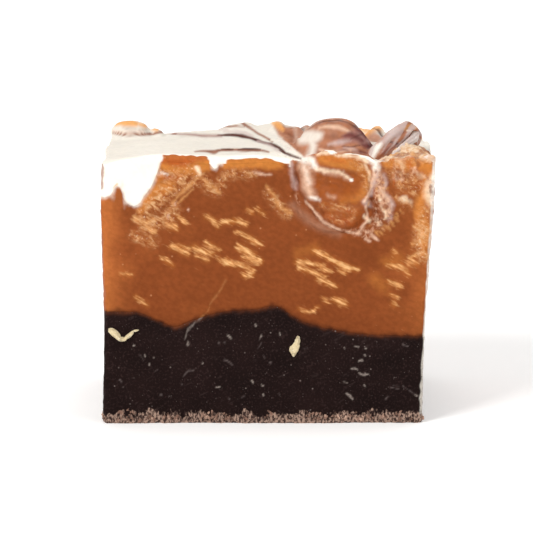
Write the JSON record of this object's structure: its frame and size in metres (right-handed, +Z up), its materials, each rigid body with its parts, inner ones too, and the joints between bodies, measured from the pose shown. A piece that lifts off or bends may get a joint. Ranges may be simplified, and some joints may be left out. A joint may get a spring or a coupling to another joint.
{
  "type": "fudge cube",
  "caption": "Cut cube of layered fudge: dark chocolate base, caramel middle and a marbled white and milk chocolate top pulled into swirls.",
  "frame": {"origin": "centre of the block's bounding box, on the flat face that it rests on", "axes": "+Z up, -Y out of the cut front face that shows the layers, +X to the right of that face"},
  "size_m": [0.0415, 0.0337, 0.0367],
  "materials": {
    "dark_chocolate": "cut dark chocolate fudge, satin, with pale crumbs and nut pieces",
    "caramel": "cut caramel fudge, satin, with pale sugar streaks",
    "marbled_topping": "white chocolate marbled with milk chocolate and caramel",
    "nut": "chopped pale nut"
  },
  "bodies": {
    "root": {"dark_chocolate_base": "dark_chocolate", "caramel_layer": "caramel", "marbled_topping": "marbled_topping"}
  },
  "joints": []
}
